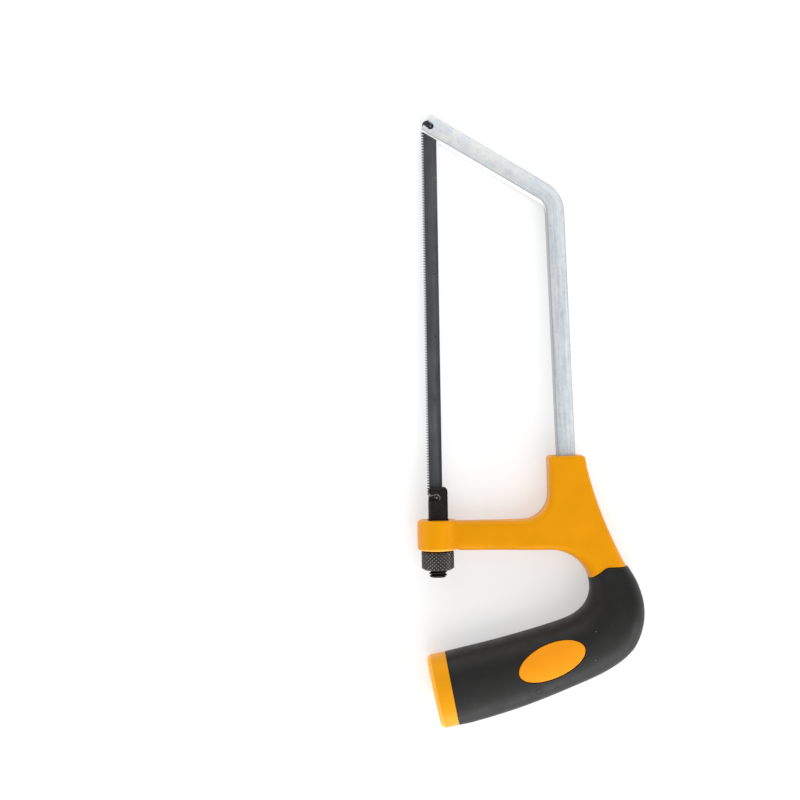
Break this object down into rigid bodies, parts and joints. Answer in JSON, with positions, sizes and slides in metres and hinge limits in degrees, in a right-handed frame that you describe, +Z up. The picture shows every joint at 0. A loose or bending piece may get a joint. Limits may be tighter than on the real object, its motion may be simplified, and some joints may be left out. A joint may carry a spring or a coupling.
{
  "type": "mini hacksaw",
  "caption": "Small hacksaw with a bent square bar, a closed-hand J grip with a soft sleeve, and a pinned blade held taut by a slotted bolt and a knurled thumb nut.",
  "frame": {"origin": "middle of the saw's footprint, on the surface that it lies on", "axes": "+X from the blade to the bar, +Y from the handle to the tip, +Z up from the surface that the saw lies on"},
  "size_m": [0.0892, 0.2412, 0.025],
  "materials": {
    "zinc_bar": "pale bluish zinc plating, faintly streaked along the bar",
    "orange_moulding": "satin moulded plastic",
    "orange_plug": "satin moulded plastic, slightly lighter",
    "orange_inlay": "smooth bare inlay",
    "soft_sleeve": "matte soft-touch overmould with a fine grain",
    "black_bolt": "black oxide",
    "nut_black": "black oxide, worn grey on the crests of the knurl",
    "blade_steel": "blued spring steel",
    "pin_steel": "bare steel"
  },
  "bodies": {
    "handle": {"frame_bar": "zinc_bar", "handle_core": "orange_moulding", "grip_sleeve": "soft_sleeve", "end_plug": "orange_plug", "badge_front": "orange_inlay", "badge_back": "orange_inlay"},
    "tension_bolt": {"tension_bolt": "black_bolt"},
    "nut": {"knurled_nut": "nut_black"},
    "blade": {"blade": "blade_steel", "upper_pin": "pin_steel", "lower_pin": "pin_steel"}
  },
  "joints": [
    {"name": "nut_turn", "type": "hinge", "parent": "handle", "child": "nut", "pos_m": [-0.03667, -0.05513, 0.01038], "axis": [-0.0003, -0.9992, 0.0393], "range_deg": [0, 1080]},
    {"name": "bolt_slide", "type": "slide", "parent": "handle", "child": "tension_bolt", "axis": [0.0003, 0.9992, -0.0393], "range_m": [0, 0.00376]},
    {"name": "blade_swing", "type": "hinge", "parent": "tension_bolt", "child": "blade", "pos_m": [-0.03676, -0.03022, 0.0094], "axis": [-0.0154, 0.0393, 0.9991], "range_deg": [0, 1.71]}
  ],
  "couplings": [
    {"joint": "bolt_slide", "follows": "nut_turn", "m_per_rad": 0.00019894},
    {"joint": "blade_swing", "follows": "nut_turn", "ratio": 0.0015683}
  ]
}
